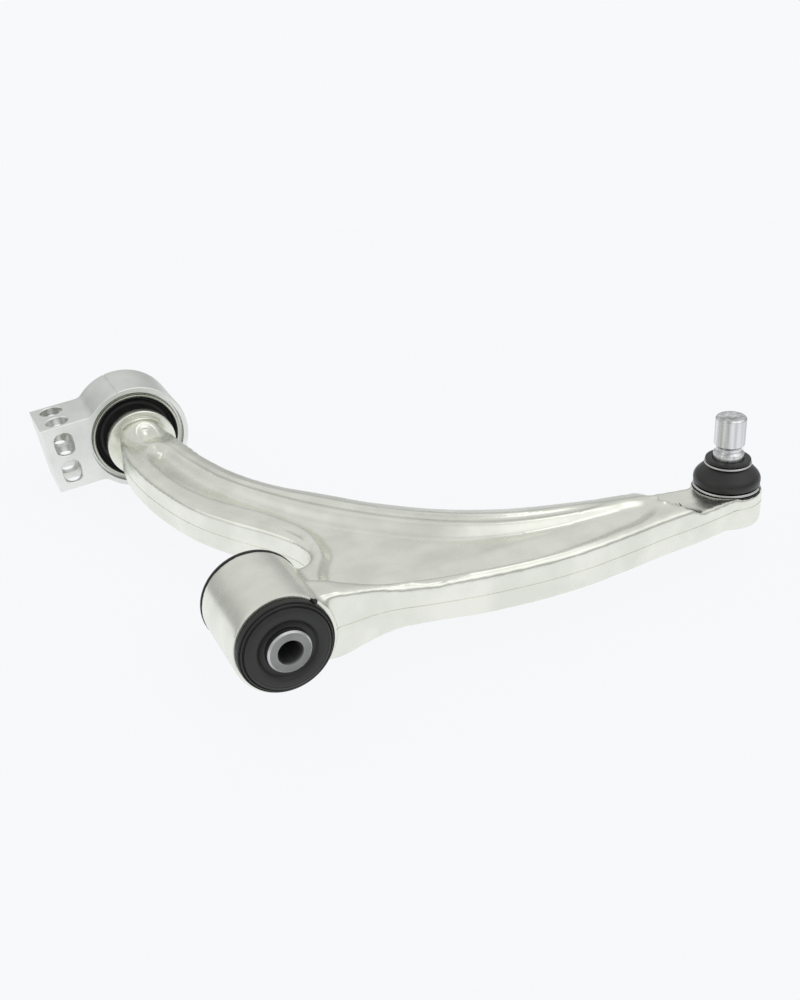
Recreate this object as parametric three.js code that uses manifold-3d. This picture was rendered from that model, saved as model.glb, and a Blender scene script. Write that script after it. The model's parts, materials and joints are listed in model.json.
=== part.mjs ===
// Front lower control arm of a car, left side, with its two bushes and its ball joint.
//
// Millimetres. +X runs outboard from the front bush to the ball joint, +Y runs rearward from the
// front bush to the rear bracket, +Z is up along the ball stud. The piece functions work from the
// centre of the front bush's front end face; the finished group is then moved so that the origin
// lies under the middle of the object, on its lowest plane.

import * as THREE from 'three';
import { mergeVertices } from 'three/addons/utils/BufferGeometryUtils.js';
import Module from 'manifold-3d';

const wasm = await Module();
wasm.setup();

// ---- driving dimensions ----------------------------------------------------------------------

const GAP = 0.3; // clearance between two pieces that touch
const SIDES = 32; // facets round a large turned piece
const SMALL_SIDES = 20; // facets round a small turned piece
const CLEAR = 5; // how far a cutting tool runs past the face that it cuts

const FRONT = { // front bush, axis along Y through x = 0, z = 0
  sleeveR: 14, boltR: 7.1, sleeveEnd: 79,
  flangeR: 31.3, flangeFront: 2.4, flangeBack: 9.2,
  canR: 27, canWall: 1.5,
  eyeR: 32.6, eyeFront: 9.5, eyeBack: 69.5,
};

const REAR = { // rear bush and its bracket, axis along Y
  x: 0.3, z: 2.7,
  flareFront: 312, collarR: 27.6, collarFront: 339.7, collarBack: 347.5,
  spigotR: 16, coreR: 20, coreBack: 408,
  threadR: 11, threadEnd: 430,
  washerR: 25, washerThickness: 4,
  nutFlangeR: 20.5, nutFlange: 2.5, acrossFlats: 32, nutHeight: 14,
  front: 355.7, depth: 49.2,
  boreR: 36.4, ringR: 42.4,
  footTilt: THREE.MathUtils.degToRad(5.3),
  footEnd: -71.2, footTop: 28.2, footBottom: -27.3, footFillet: 9,
  windowX: -57.6, windowWidth: 14.8, windowHeight: 19.3, windowRound: 6.5, windowSpread: 12,
  boltR: 9,
  canInset: 0.6, cageInset: 6.3, channelInset: 14, chamberR: 9,
};

const BALL = { // ball joint, axis along Z
  x: 339.8, y: 35.1,
  housingR: 24.5, housingTop: 7.5, housingBottom: -18,
  coverR: 18, coverSeat: 2.2, bootGrooveR: 19.4, bootGrooveDepth: 2.4,
  ballR: 13.5, ballZ: -3.5, mouthR: 12.2,
  seatR: 16.2, neckR: 7,
  studR: 10.5, studTop: 59.7, grooveZ: 36.6, grooveR: 8.6,
  lowerRingR: 22, lowerRingZ: 9, lowerWireR: 1.1,
  upperRingR: 15.3, upperRingZ: 25.9, upperWireR: 0.9,
};

const ARM = {
  halfHeight: 15, edgeRound: 3,
  webHalf: 3, wallDraft: 4,
  eyeRise: 23, riseStart: 34, riseEnd: 115,
  neckX: 284, neckEndX: 318, neckTop: 8,
};

// ---- geometry helpers ------------------------------------------------------------------------

function toManifold(geometry) {
  geometry.deleteAttribute('normal');
  geometry.deleteAttribute('uv');
  const merged = mergeVertices(geometry, 1e-4);
  const mesh = new wasm.Mesh({
    numProp: 3,
    vertProperties: new Float32Array(merged.attributes.position.array),
    triVerts: new Uint32Array(merged.index.array),
  });
  return new wasm.Manifold(mesh);
}

function toGeometry(manifold) {
  const mesh = manifold.getMesh();
  const geometry = new THREE.BufferGeometry();
  geometry.setAttribute('position', new THREE.BufferAttribute(mesh.vertProperties, 3));
  geometry.setIndex(new THREE.BufferAttribute(mesh.triVerts, 1));
  geometry.computeVertexNormals();
  return geometry;
}

function join(...geometries) {
  return toGeometry(geometries.map(toManifold).reduce((whole, next) => whole.add(next)));
}

function cut(geometry, ...tools) {
  const whole = toManifold(geometry);
  return toGeometry(tools.map(toManifold).reduce((rest, tool) => rest.subtract(tool), whole));
}

function common(first, second) {
  return toGeometry(toManifold(first).intersect(toManifold(second)));
}

// A path through corner points [x, y, radius]; a corner with a radius is rounded off.
function roundedPath(corners, path = new THREE.Path()) {
  corners.forEach(([x, y, radius = 0], i) => {
    const here = new THREE.Vector2(x, y);
    const before = new THREE.Vector2(...corners.at(i - 1));
    const after = new THREE.Vector2(...corners[(i + 1) % corners.length]);
    const enter = before.sub(here).setLength(radius).add(here);
    const leave = after.sub(here).setLength(radius).add(here);
    if (i === 0) path.moveTo(enter.x, enter.y);
    else path.lineTo(enter.x, enter.y);
    if (radius > 0) path.quadraticCurveTo(x, y, leave.x, leave.y);
  });
  path.closePath();
  return path;
}

// A closed ring turned about Y. Corners are [radius, y, rounding], anticlockwise.
function turned(corners, sides = SIDES) {
  const profile = roundedPath(corners).getPoints(2);
  return new THREE.LatheGeometry(profile, sides);
}

// The same about Z, placed on the ball joint's axis.
function turnedOnBallAxis(corners, sides = SMALL_SIDES) {
  return turned(corners, sides).rotateX(Math.PI / 2).translate(BALL.x, BALL.y, 0);
}

function onRearAxis(geometry) {
  return geometry.translate(REAR.x, 0, REAR.z);
}

// A prism whose section lies in the XZ plane, running from y = near to y = far.
function prismAlongY(shape, near, far) {
  const geometry = new THREE.ExtrudeGeometry(shape, {
    depth: far - near, bevelEnabled: false, curveSegments: SIDES / 2,
  });
  return geometry.rotateX(Math.PI / 2).translate(0, far, 0);
}

// An outline made of smooth runs that meet in corners; a point too close to the last is skipped.
function splineShape(runs, divisions = 3) {
  const shape = new THREE.Shape();
  runs.forEach((run, i) => {
    const points = run.map(([x, y]) => new THREE.Vector2(x, y));
    const curve = new THREE.SplineCurve(points);
    curve.getPoints((points.length - 1) * divisions).forEach((p, k) => {
      if (i === 0 && k === 0) shape.moveTo(p.x, p.y);
      else if (shape.currentPoint.distanceTo(p) > GAP) shape.lineTo(p.x, p.y);
    });
  });
  shape.closePath();
  return shape;
}

// ---- arm forging -----------------------------------------------------------------------------

const NEAR_EDGE = [[24, 13], [36, 11.5], [66, 13], [98, 6], [140, -1.5], [190, -4.5], [232, -1],
  [265, 3.5], [300, 7], [336, 13]];
const FAR_EDGE = [[336, 55], [318, 46.5], [300, 48], [276, 53], [233, 62.5], [174, 84], [123, 122],
  [89, 162], [56, 206], [34, 262], [27, 300], [22, 334]];
const LEG_EDGE = [[-20, 334], [-22, 300], [-20, 263], [-13, 223], [-1, 183], [15, 151], [34, 117],
  [43.5, 92], [43, 78], [36, 69], [24, 66]];

const POCKET_LEG_SIDE = [[2, 318], [1, 290], [3, 255], [9, 224], [23, 189], [39, 160], [52, 135],
  [59, 112], [59, 92], [50, 74], [42, 52], [41, 34], [50, 27]];
const POCKET_NEAR_SIDE = [[66, 24], [84, 19], [114, 13], [173, 5], [229, 8], [258, 12]];
const POCKET_END = [[258, 12], [270, 18], [274, 27], [266, 37]];
const POCKET_FAR_SIDE = [[266, 37], [240, 39], [207, 42], [160, 56.5], [128, 73], [93, 104],
  [62, 136], [42, 165], [25, 205], [16, 240], [10, 280], [7, 318]];

const CROWN_GROOVE = [[24, 290], [32, 248], [49, 199], [70, 156], [102, 116], [140, 84], [180, 62],
  [214, 51], [250, 46]];
const GROOVE_R = 8;
const GROOVE_DEPTH = 1.4;

function bodyPlate() {
  const { halfHeight, edgeRound } = ARM;
  return new THREE.ExtrudeGeometry(splineShape([NEAR_EDGE, FAR_EDGE, LEG_EDGE]), {
    depth: 2 * (halfHeight - edgeRound),
    bevelThickness: edgeRound, bevelSize: edgeRound, bevelOffset: -edgeRound, bevelSegments: 2,
  }).translate(0, 0, -(halfHeight - edgeRound));
}

// One pocket tool serves both faces: its two ends are the pocket's floor outline, and it widens
// by the wall draft towards its middle.
function pocketTool(floorZ, side) {
  const depth = ARM.halfHeight - ARM.webHalf;
  const shape = splineShape([POCKET_LEG_SIDE, POCKET_NEAR_SIDE, POCKET_END, POCKET_FAR_SIDE], 2);
  const tool = new THREE.ExtrudeGeometry(shape, {
    depth, bevelThickness: depth, bevelSize: ARM.wallDraft, bevelOffset: 0, bevelSegments: 1,
  });
  const shift = side > 0 ? floorZ + depth : -floorZ - 2 * depth;
  return tool.translate(0, 0, shift);
}

// The shallow channel along the far rail's crown, on one face of the beam.
function crownGroove(side) {
  const z = side * (ARM.halfHeight + GROOVE_R - GROOVE_DEPTH);
  const path = new THREE.CatmullRomCurve3(CROWN_GROOVE.map(([x, y]) => new THREE.Vector3(x, y, z)));
  const section = new THREE.Shape().absarc(0, 0, GROOVE_R, 0, 2 * Math.PI);
  return new THREE.ExtrudeGeometry(section, { steps: 20, curveSegments: 6, extrudePath: path });
}

// The near rail grows taller towards the eye.
function risingRail() {
  const { eyeRise, riseStart, riseEnd, halfHeight } = ARM;
  const plan = splineShape([[[20, 13], [36, 12], [66, 13.5], [98, 7], [118, 4]],
    [[118, 10], [98, 14], [66, 21.5], [46, 26], [40, 40], [20, 42]]]);
  const strip = new THREE.ExtrudeGeometry(plan, { depth: 2 * eyeRise, bevelEnabled: false })
    .translate(0, 0, -eyeRise);
  const side = roundedPath([[18, eyeRise], [18, 1 - eyeRise], [riseStart, 1 - eyeRise],
    [riseEnd, 1 - halfHeight], [riseEnd, halfHeight - 1], [riseStart, eyeRise]], new THREE.Shape());
  return common(strip, prismAlongY(side, -10, 60));
}

// Everything above the neck's falling top line.
function neckRelief() {
  const { neckX, neckEndX, neckTop, halfHeight } = ARM;
  const shape = new THREE.Shape([[neckX, halfHeight + 1], [neckX, halfHeight], [neckEndX, neckTop],
    [BALL.x, neckTop - 1], [BALL.x, halfHeight + 1]].map(([x, z]) => new THREE.Vector2(x, z)));
  return prismAlongY(shape, -20, 90);
}

function eyeBarrel() {
  const { eyeR, eyeFront, eyeBack } = FRONT;
  return turned([[0, eyeFront], [eyeR, eyeFront, 0.9], [eyeR, eyeBack, 0.9], [0, eyeBack]]);
}

function eyeBore() {
  const { canR, eyeFront, eyeBack } = FRONT;
  return new THREE.CylinderGeometry(canR + GAP, canR + GAP, eyeBack + 2 * CLEAR, SIDES)
    .translate(0, (eyeFront + eyeBack) / 2, 0);
}

// Flare from the leg into the collar, the collar disc and the spigot behind it.
function collarAndSpigot() {
  const { flareFront, collarR, collarFront, collarBack, spigotR, coreBack, threadR, threadEnd } = REAR;
  return onRearAxis(turned([[0, flareFront], [14, flareFront], [17, flareFront + 10, 6],
    [24, collarFront - 3.7, 4], [collarR, collarFront, 1], [collarR, collarBack, 1],
    [spigotR, collarBack, 0.6], [spigotR, coreBack - 1], [threadR, coreBack - 1],
    [threadR, threadEnd, 1.5], [0, threadEnd]]));
}

function ballHousing() {
  const { housingR, housingTop, housingBottom } = BALL;
  return turnedOnBallAxis([[0, housingBottom], [housingR, housingBottom, 5],
    [housingR, housingTop, 1.6], [0, housingTop]], SIDES);
}

// Bore from below for the seat and cover, closing to the mouth that the stud leaves through.
function housingBore() {
  const { seatR, mouthR, housingTop, housingBottom, coverR, coverSeat } = BALL;
  const boreR = seatR + GAP;
  const recessR = coverR + GAP;
  const recessTop = housingBottom + coverSeat;
  return turnedOnBallAxis([[0, housingBottom - CLEAR], [recessR, housingBottom - CLEAR],
    [recessR, recessTop], [boreR, recessTop], [boreR, 1.2, 2], [mouthR, 4.6, 1],
    [mouthR + 1.4, housingTop + CLEAR], [0, housingTop + CLEAR]]);
}

// Groove that the dust boot's lower bead sits in.
function bootGroove() {
  const { housingR, housingTop, bootGrooveR, bootGrooveDepth } = BALL;
  const floorZ = housingTop - bootGrooveDepth;
  return turnedOnBallAxis([[bootGrooveR, floorZ], [housingR + CLEAR, floorZ],
    [housingR + CLEAR, housingTop + CLEAR], [bootGrooveR, housingTop + CLEAR]]);
}

function armForging() {
  const { webHalf } = ARM;
  const beam = cut(bodyPlate(), pocketTool(webHalf, 1), pocketTool(webHalf, -1),
    crownGroove(1), crownGroove(-1), neckRelief());
  const whole = join(beam, risingRail(), eyeBarrel(), collarAndSpigot(), ballHousing());
  return cut(whole, eyeBore(), housingBore(), bootGroove());
}

// ---- front bush ------------------------------------------------------------------------------

function frontOuterCan() {
  const { canR, canWall, eyeFront, eyeBack } = FRONT;
  const inner = canR - canWall;
  return turned([[inner, eyeFront], [canR, eyeFront], [canR, eyeBack], [inner, eyeBack]]);
}

function frontRubber() {
  const { sleeveR, canR, canWall, eyeFront, eyeBack, flangeR, flangeFront, flangeBack } = FRONT;
  const inner = sleeveR + GAP;
  const outer = canR - canWall - GAP;
  const length = eyeFront + eyeBack;
  return turned([[inner, flangeFront + 0.8], [20, flangeFront, 2], [flangeR, 6.4, 2],
    [flangeR, flangeBack, 0.5], [outer, flangeBack], [outer, length - flangeBack],
    [flangeR, length - flangeBack, 0.5], [flangeR, length - 6.4, 2],
    [20, length - flangeFront, 2], [inner, length - flangeFront - 0.8]]);
}

function frontInnerSleeve() {
  const { sleeveR, boltR, sleeveEnd } = FRONT;
  return turned([[boltR + 0.7, 0], [sleeveR, 0, 0.7], [sleeveR, sleeveEnd, 0.7],
    [boltR + 0.7, sleeveEnd], [boltR, sleeveEnd - 0.7], [boltR, 0.7]]);
}

// ---- rear bush and bracket -------------------------------------------------------------------

// Outline of the bracket: a ring with a flat foot whose corners run into the ring in fillets.
function bracketShape() {
  const { ringR, boreR, footEnd, footTop, footBottom, footFillet } = REAR;
  const corner = 1.5;
  const reach = ringR + footFillet;
  const shape = new THREE.Shape();
  const fillet = (footEdge, sign) => {
    const z = footEdge + sign * footFillet;
    const x = -Math.sqrt(reach * reach - z * z);
    return { x, z, angle: Math.atan2(z, x) };
  };
  const top = fillet(footTop, 1);
  const bottom = fillet(footBottom, -1);
  shape.moveTo(footEnd, footBottom + corner);
  shape.quadraticCurveTo(footEnd, footBottom, footEnd + corner, footBottom);
  shape.absarc(bottom.x, bottom.z, footFillet, Math.PI / 2, bottom.angle + Math.PI, true);
  shape.absarc(0, 0, ringR, bottom.angle, top.angle, false);
  shape.absarc(top.x, top.z, footFillet, top.angle - Math.PI, -Math.PI / 2, true);
  shape.lineTo(footEnd + corner, footTop);
  shape.quadraticCurveTo(footEnd, footTop, footEnd, footTop - corner);
  shape.closePath();
  shape.holes.push(new THREE.Path().absarc(0, 0, boreR, 0, 2 * Math.PI), ...bracketWindows());
  return shape;
}

function bracketWindows() {
  const { windowX, windowWidth, windowHeight, windowRound, windowSpread } = REAR;
  const [left, right] = [windowX - windowWidth / 2, windowX + windowWidth / 2];
  return [windowSpread, -windowSpread].map((z) => {
    const [low, high] = [z - windowHeight / 2, z + windowHeight / 2];
    const corners = [[left, low, windowRound], [right, low, windowRound],
      [right, high, windowRound], [left, high, windowRound]];
    return new THREE.Path(roundedPath(corners).getPoints(3));
  });
}

// Places a geometry made round the bracket's own centre on the rear axis, with the foot's tilt.
function onBracket(geometry) {
  return onRearAxis(geometry.rotateY(-REAR.footTilt));
}

function bracketBoltHole(y) {
  const { boltR, ringR, windowX } = REAR;
  return onBracket(new THREE.CylinderGeometry(boltR, boltR, 2 * ringR, 28)
    .rotateX(Math.PI / 2).translate(windowX, y, 0));
}

function rearBracket() {
  const { front, depth, boreR } = REAR;
  const block = onBracket(prismAlongY(bracketShape(), front, front + depth));
  const mouth = onRearAxis(turned([[boreR - 2, front - 2], [boreR + 2.6, front - 2],
    [boreR - 1, front + 1.6], [boreR - 2, front + 1.6]]));
  return cut(block, mouth, bracketBoltHole(front + depth / 4), bracketBoltHole(front + 3 * depth / 4));
}

function rearRing(innerR, outerR, inset) {
  const { front, depth } = REAR;
  const start = front + inset;
  const end = front + depth - inset;
  return onRearAxis(turned([[innerR, start], [outerR, start, 0.3], [outerR, end, 0.3], [innerR, end]]));
}

const CAN_R = REAR.boreR - GAP;
const CAN_WALL = 1.4;
const CHANNEL_OUTER = CAN_R - CAN_WALL - GAP;
const CAGE_OUTER = 32.6;
const CAGE_INNER = 31.4;
const CHAMBER_FLOOR = 25.5;

// Radial openings on the two sides, where the bush's fluid chambers are.
function chamberTools(radius) {
  const y = REAR.front + REAR.depth / 2;
  const reach = CAN_R - CHAMBER_FLOOR;
  return [1, -1].map((side) => onRearAxis(
    new THREE.CylinderGeometry(radius, radius, reach, 16).rotateZ(Math.PI / 2)
      .translate(side * (CHAMBER_FLOOR + reach / 2), y, 0)));
}

function rearRubber() {
  const { front, depth, coreR } = REAR;
  const inner = coreR + GAP;
  const lip = CHANNEL_OUTER;
  const body = CAGE_INNER - GAP;
  const start = front + 3;
  const end = front + depth - 3;
  const lipWidth = 3;
  const solid = onRearAxis(turned([[inner, start - 5], [inner + 2.5, start - 5, 1], [27, start + 5, 4],
    [lip, start, 1], [lip, start + lipWidth], [body, start + lipWidth], [body, end - lipWidth],
    [lip, end - lipWidth], [lip, end, 1], [27, end - 5, 4], [inner + 2.5, end + 4, 1],
    [inner, end + 4]]));
  return cut(solid, ...chamberTools(REAR.chamberR));
}

function rearCage() {
  return cut(rearRing(CAGE_INNER, CAGE_OUTER, REAR.cageInset), ...chamberTools(REAR.chamberR + 2 * GAP));
}

// Half of the ring that carries the groove which joins the two chambers. It is in two shells, so
// that it can be closed round the rubber's middle, inside its end lips. side is 1 for the upper.
function channelShell(side) {
  const start = REAR.front + REAR.channelInset;
  const end = REAR.front + REAR.depth - REAR.channelInset;
  const inner = CAGE_OUTER + GAP;
  const middle = (start + end) / 2;
  const groove = 3;
  const grooveR = CHANNEL_OUTER - 0.9;
  const ring = turned([[inner, start], [CHANNEL_OUTER, start], [CHANNEL_OUTER, middle - groove],
    [grooveR, middle - groove], [grooveR, middle + groove], [CHANNEL_OUTER, middle + groove],
    [CHANNEL_OUTER, end], [inner, end]]);
  const otherHalf = new THREE.BoxGeometry(3 * CHANNEL_OUTER, REAR.depth, 2 * CHANNEL_OUTER)
    .translate(0, middle, -side * (CHANNEL_OUTER - GAP / 2));
  return onRearAxis(cut(ring, otherHalf));
}

function rearCore() {
  const { coreR, spigotR, collarBack, coreBack } = REAR;
  const start = collarBack + GAP;
  return onRearAxis(turned([[spigotR + GAP, start], [coreR, start, 0.6], [coreR, coreBack, 0.6],
    [spigotR + GAP, coreBack]]));
}

function rearWasher() {
  const { coreBack, threadR, washerR, washerThickness } = REAR;
  const start = coreBack + GAP;
  const end = start + washerThickness;
  const inner = threadR + GAP;
  return onRearAxis(turned([[inner, start], [washerR, start, 0.6], [washerR, end, 0.6], [inner, end]]));
}

function rearNut() {
  const { coreBack, washerThickness, threadR, nutFlangeR, nutFlange, acrossFlats, nutHeight } = REAR;
  const start = coreBack + washerThickness + 2 * GAP;
  const end = start + nutHeight;
  const cornerR = acrossFlats / Math.sqrt(3);
  const boreR = threadR + GAP;
  const flange = turned([[0, start], [nutFlangeR, start, 0.6], [nutFlangeR, start + nutFlange, 1],
    [0, start + nutFlange]]);
  const hexagon = new THREE.CylinderGeometry(cornerR, cornerR, nutHeight, 6)
    .translate(0, start + nutHeight / 2, 0);
  const chamfer = turned([[0, start], [22, start], [18.9, end - 2], [16.2, end], [0, end]]);
  const bore = new THREE.CylinderGeometry(boreR, boreR, 4 * nutHeight, SMALL_SIDES)
    .translate(0, start, 0);
  return onRearAxis(cut(join(flange, common(hexagon, chamfer)), bore));
}

// ---- ball joint ------------------------------------------------------------------------------

function sphereProfile(radius, from, to, steps) {
  return Array.from({ length: steps + 1 }, (_, i) => {
    const angle = THREE.MathUtils.lerp(from, to, i / steps);
    return [radius * Math.cos(angle), BALL.ballZ + radius * Math.sin(angle)];
  });
}

function ballStud() {
  const { ballR, ballZ, neckR, studR, studTop, grooveZ, grooveR } = BALL;
  const neckStart = Math.acos(neckR / ballR);
  const ball = sphereProfile(ballR, -Math.PI / 2, neckStart, 8);
  const shoulderZ = 26.5;
  return turnedOnBallAxis([...ball, [neckR, ballZ + 17, 2], [9.2, shoulderZ - 4, 1],
    [9.2, shoulderZ], [studR, shoulderZ + 1.5, 0.8], [studR, grooveZ - 3, 0.6],
    [grooveR, grooveZ - 1.5, 0.8], [grooveR, grooveZ + 1.5, 0.8], [studR, grooveZ + 3, 0.6],
    [studR, studTop - 1, 0.4], [studR - 0.9, studTop], [2.4, studTop], [0, studTop - 1.3]]);
}

function ballSeat() {
  const { ballR, seatR, housingBottom } = BALL;
  const inner = ballR + GAP;
  const cup = sphereProfile(inner, 0.62, -0.98, 8);
  const floorZ = cup.at(-1)[1];
  return turnedOnBallAxis([[7.7, housingBottom + 2.6], [seatR, housingBottom + 2.6],
    [seatR, 1.0, 2], [inner * Math.cos(0.62), 4.3], ...cup.slice(1), [7.7, floorZ]]);
}

// Dished plate pressed into the housing's lower recess.
function coverPlate() {
  const { housingBottom, coverR } = BALL;
  return turnedOnBallAxis([[0, housingBottom - 1.8], [14, housingBottom - 1.4, 2],
    [coverR, housingBottom + 0.2, 0.3], [coverR, housingBottom + 1.8, 0.3], [0, housingBottom + 1.0]]);
}

function dustBoot() {
  const { lowerRingR, lowerRingZ, upperRingR, upperRingZ, lowerWireR, upperWireR } = BALL;
  const { housingTop, bootGrooveDepth } = BALL;
  const seatTop = housingTop - bootGrooveDepth + GAP;
  const lowerSeat = lowerRingR - lowerWireR - 0.1;
  const upperSeat = upperRingR - upperWireR - 0.1;
  return turnedOnBallAxis([
    [lowerSeat - 1.1, seatTop], [23.3, seatTop, 0.6], [23.3, lowerRingZ - 1.5, 0.4],
    [lowerSeat, lowerRingZ - 1.1], [lowerSeat, lowerRingZ + 1.3], [22.4, lowerRingZ + 2.2],
    [23.1, lowerRingZ + 5, 1.5], [22.2, lowerRingZ + 8, 2], [17, upperRingZ - 3, 2],
    [15.6, upperRingZ - 1.6], [upperSeat, upperRingZ - 1.1], [upperSeat, upperRingZ + 1.1],
    [15.5, upperRingZ + 1.7], [15.5, upperRingZ + 3.4, 0.8], [10.9, upperRingZ + 3.4],
    [10.9, upperRingZ + 1], [9.6, upperRingZ - 1], [9.6, upperRingZ - 3.5, 1],
    [20.4, lowerRingZ + 7, 3], [lowerSeat - 1.1, lowerRingZ + 2]], SIDES);
}

// Spring wire ring with a short opening between its ends.
function wireRing(radius, z, wireR, openingDegrees, towards) {
  const half = THREE.MathUtils.degToRad(openingDegrees / 2);
  const steps = 32;
  const points = Array.from({ length: steps + 1 }, (_, i) => {
    const angle = towards + half + (i / steps) * (2 * Math.PI - 2 * half);
    return new THREE.Vector3(radius * Math.cos(angle), radius * Math.sin(angle), 0);
  });
  const section = new THREE.Shape().absarc(0, 0, wireR, 0, 2 * Math.PI);
  const path = new THREE.CatmullRomCurve3(points);
  return new THREE.ExtrudeGeometry(section, { steps, curveSegments: 4, extrudePath: path })
    .translate(BALL.x, BALL.y, z);
}

// ---- the assembly ----------------------------------------------------------------------------

const FINISHES = {
  forging: { color: 0xdcded3, roughness: 0.3, metalness: 1 },
  bracket: { color: 0xcfd2d2, roughness: 0.38, metalness: 1 },
  steel: { color: 0xa9aaab, roughness: 0.35, metalness: 1 },
  plating: { color: 0xc9ccc4, roughness: 0.3, metalness: 1 },
  rubber: { color: 0x2e2e2d, roughness: 0.7, metalness: 0 },
  plastic: { color: 0xe6e1d2, roughness: 0.5, metalness: 0 },
};

const PIECES = [
  ['arm_forging', armForging(), 'forging'],
  ['front_bush_outer_sleeve', frontOuterCan(), 'plating'],
  ['front_bush_rubber', frontRubber(), 'rubber'],
  ['front_bush_inner_sleeve', frontInnerSleeve(), 'steel'],
  ['rear_bracket', rearBracket(), 'bracket'],
  ['rear_bush_outer_sleeve', rearRing(CHANNEL_OUTER + GAP, CAN_R, REAR.canInset), 'plating'],
  ['rear_bush_upper_channel_shell', channelShell(1), 'plastic'],
  ['rear_bush_lower_channel_shell', channelShell(-1), 'plastic'],
  ['rear_bush_cage', rearCage(), 'steel'],
  ['rear_bush_rubber', rearRubber(), 'rubber'],
  ['rear_bush_inner_sleeve', rearCore(), 'steel'],
  ['rear_washer', rearWasher(), 'steel'],
  ['rear_nut', rearNut(), 'plating'],
  ['ball_stud', ballStud(), 'steel'],
  ['ball_seat', ballSeat(), 'plastic'],
  ['ball_cover_plate', coverPlate(), 'plating'],
  ['dust_boot', dustBoot(), 'rubber'],
  ['boot_lower_ring', wireRing(BALL.lowerRingR, BALL.lowerRingZ, BALL.lowerWireR, 7, -0.9), 'plating'],
  ['boot_upper_ring', wireRing(BALL.upperRingR, BALL.upperRingZ, BALL.upperWireR, 9, 2.2), 'plating'],
];

const arm = new THREE.Group();
for (const [name, geometry, finish] of PIECES) {
  const mesh = new THREE.Mesh(geometry, new THREE.MeshStandardMaterial(FINISHES[finish]));
  mesh.name = name;
  arm.add(mesh);
}

const box = new THREE.Box3().setFromObject(arm);
const middle = box.getCenter(new THREE.Vector3());
arm.position.set(-middle.x, -middle.y, -box.min.z);

export default arm;
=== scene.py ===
import json
import math

import bpy
from mathutils import Matrix, Vector

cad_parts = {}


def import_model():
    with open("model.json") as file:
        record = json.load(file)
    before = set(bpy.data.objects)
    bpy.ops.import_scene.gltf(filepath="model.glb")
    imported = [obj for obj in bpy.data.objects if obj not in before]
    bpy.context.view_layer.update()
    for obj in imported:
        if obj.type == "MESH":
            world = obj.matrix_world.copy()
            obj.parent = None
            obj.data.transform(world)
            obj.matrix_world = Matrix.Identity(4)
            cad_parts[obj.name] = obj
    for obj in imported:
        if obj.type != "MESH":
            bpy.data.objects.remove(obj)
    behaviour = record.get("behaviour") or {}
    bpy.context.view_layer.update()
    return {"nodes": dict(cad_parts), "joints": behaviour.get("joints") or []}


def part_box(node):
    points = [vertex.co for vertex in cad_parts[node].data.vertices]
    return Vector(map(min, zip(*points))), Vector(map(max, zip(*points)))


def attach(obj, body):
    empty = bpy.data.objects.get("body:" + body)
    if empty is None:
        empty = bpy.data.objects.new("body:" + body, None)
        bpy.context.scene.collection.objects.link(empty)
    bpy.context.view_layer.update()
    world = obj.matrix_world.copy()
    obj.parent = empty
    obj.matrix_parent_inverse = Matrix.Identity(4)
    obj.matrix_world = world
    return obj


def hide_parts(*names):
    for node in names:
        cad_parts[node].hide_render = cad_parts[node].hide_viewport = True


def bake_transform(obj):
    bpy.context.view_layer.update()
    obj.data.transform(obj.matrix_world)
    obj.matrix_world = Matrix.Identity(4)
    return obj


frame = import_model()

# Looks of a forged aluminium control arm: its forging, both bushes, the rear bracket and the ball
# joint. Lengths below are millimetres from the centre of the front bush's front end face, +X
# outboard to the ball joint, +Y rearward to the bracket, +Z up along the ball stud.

JOINTS = {joint["name"]: joint for joint in frame["joints"]}
MM = 0.001


# ---- places, taken from the frame ----------------------------------------------------------------

def box_middle(node):
    low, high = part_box(node)
    return (low + high) / 2


SLEEVE_LOW, SLEEVE_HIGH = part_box("front_bush_inner_sleeve")
ORIGIN = Vector((box_middle("front_bush_inner_sleeve").x, SLEEVE_LOW.y,
                 box_middle("front_bush_inner_sleeve").z))
BALL_CENTRE = (Vector(JOINTS["stud_tilt"]["pos_m"]) - ORIGIN) / MM
REAR_AXIS = (Vector(JOINTS["rear_bush_twist"]["pos_m"]) - ORIGIN) / MM
SLEEVE_FRONT, SLEEVE_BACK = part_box("rear_bush_outer_sleeve")
SLEEVE_INSET = 0.6
BRACKET_FRONT = (SLEEVE_FRONT.y - ORIGIN.y) / MM - SLEEVE_INSET
BRACKET_BACK = (SLEEVE_BACK.y - ORIGIN.y) / MM + SLEEVE_INSET
STUD_TOP = (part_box("ball_stud")[1].z - ORIGIN.z) / MM
JOINT_CENTRE = (BALL_CENTRE.x, BALL_CENTRE.y, 0)
REAR_CENTRE = (REAR_AXIS.x, 0, REAR_AXIS.z)


def place(x, y, z):
    """A point given in millimetres from the front bush, in the frame's metres."""
    return ORIGIN + Vector((x, y, z)) * MM


# ---- modelling by hand ---------------------------------------------------------------------------

def pick(*objects):
    """Leaves only these objects selected, the first one active."""
    if bpy.context.mode != "OBJECT":
        bpy.ops.object.mode_set(mode="OBJECT")
    bpy.ops.object.select_all(action="DESELECT")
    for obj in objects:
        obj.select_set(True)
    bpy.context.view_layer.objects.active = objects[0]


def rounded(corners, steps=5):
    """Section corners (radius, height, rounding) with each rounding drawn as a short curve."""
    points = []
    for i, corner in enumerate(corners):
        here = Vector(corner[:2])
        radius = corner[2] if len(corner) > 2 else 0
        if not radius:
            points.append(here)
            continue
        before = Vector(corners[i - 1][:2])
        after = Vector(corners[(i + 1) % len(corners)][:2])
        start = here + (before - here).normalized() * radius
        end = here + (after - here).normalized() * radius
        for k in range(steps + 1):
            t = k / steps
            points.append(start * (1 - t) ** 2 + here * 2 * t * (1 - t) + end * t ** 2)
    return points


def thread(radius, start, end, pitch=1.5, depth=0.8):
    """Section corners of a thread's crests and roots, between two heights."""
    turns = int((end - start) / pitch)
    return [(radius - depth * (k % 2), start + k * pitch / 2) for k in range(2 * turns)]


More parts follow.
